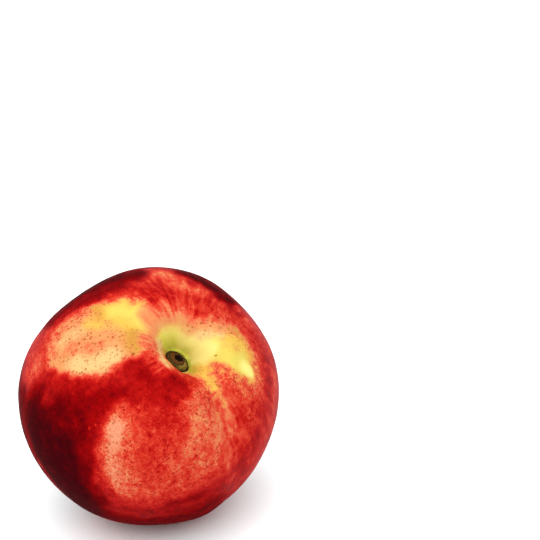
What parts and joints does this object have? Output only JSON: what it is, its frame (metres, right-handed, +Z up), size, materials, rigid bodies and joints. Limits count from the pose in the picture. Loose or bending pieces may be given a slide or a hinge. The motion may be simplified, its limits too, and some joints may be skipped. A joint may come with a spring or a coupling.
{
  "type": "nectarine",
  "caption": "Whole ripe nectarine lying on its flank, with a stalk hollow, a stalk scar, a seam furrow, a small tip and a pressed flat to rest on.",
  "frame": {"origin": "on the ground under the middle of the fruit's bounding box", "axes": "+Z up from the ground the fruit lies on; the stalk hollow faces up and towards -Y, leaning a little to +X"},
  "size_m": [0.0706, 0.07, 0.069],
  "materials": {
    "skin": "smooth satin fruit skin, deep red over yellow, with speckles and streaks",
    "stalk_scar": "dry corky brown and olive scar"
  },
  "bodies": {
    "root": {"nectarine": "skin"}
  },
  "joints": []
}
